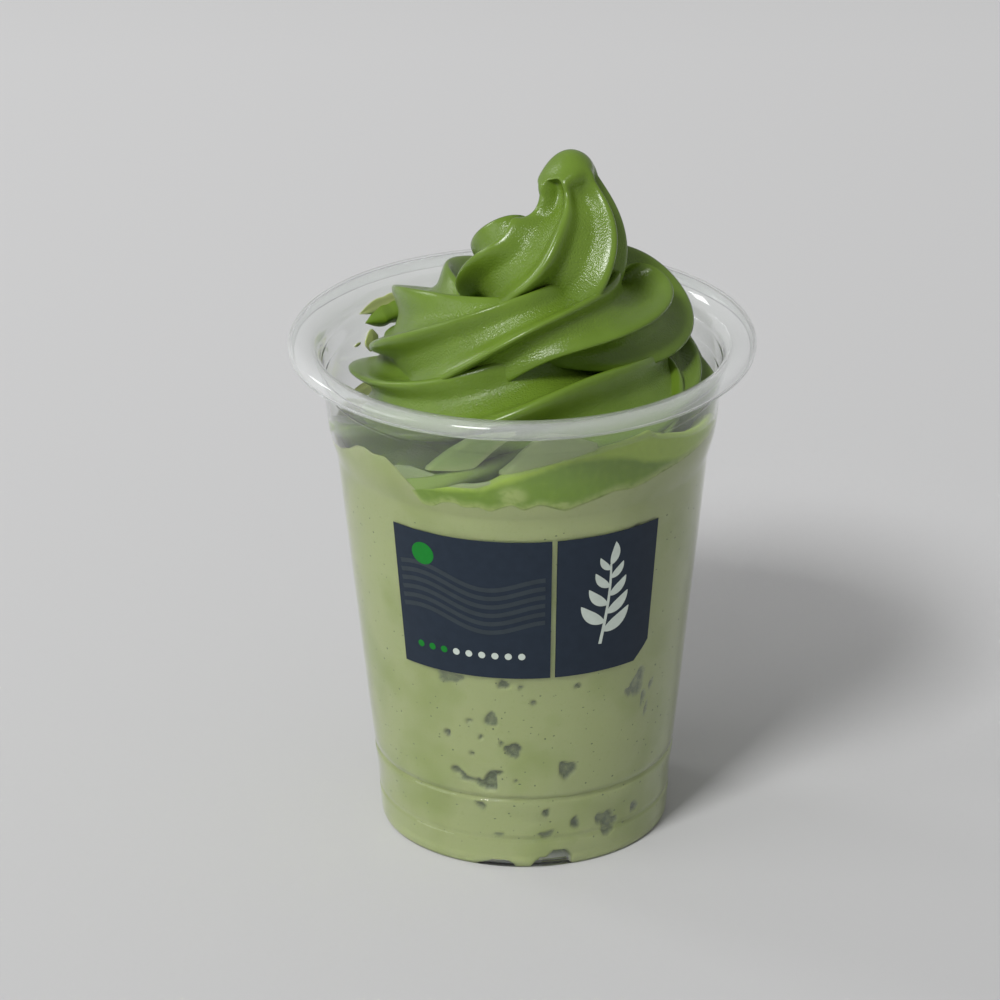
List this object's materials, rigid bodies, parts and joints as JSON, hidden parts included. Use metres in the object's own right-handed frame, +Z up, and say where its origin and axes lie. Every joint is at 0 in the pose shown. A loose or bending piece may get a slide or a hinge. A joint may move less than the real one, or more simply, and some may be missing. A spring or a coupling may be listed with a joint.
{
  "type": "ice cream float",
  "caption": "Clear plastic cup of pale green milky drink, topped by a fluted green soft-serve swirl that winds up above the rolled rim",
  "frame": {"origin": "centre of the cup's foot ring, on the surface it stands on", "axes": "+Z up through the cup's axis, -Y towards the pictured front, +X to the front's right"},
  "size_m": [0.092, 0.092, 0.141],
  "materials": {
    "clear_plastic": "clear thin thermoformed plastic, glossy and slightly hazy",
    "green_drink": "opaque milky drink with fine specks and ice, smooth against the wall",
    "green_soft_serve": "moist frozen cream, softly glossy crests and finely grained grooves"
  },
  "bodies": {
    "root": {"cup": "clear_plastic", "drink": "green_drink", "soft_serve": "green_soft_serve"}
  },
  "joints": []
}
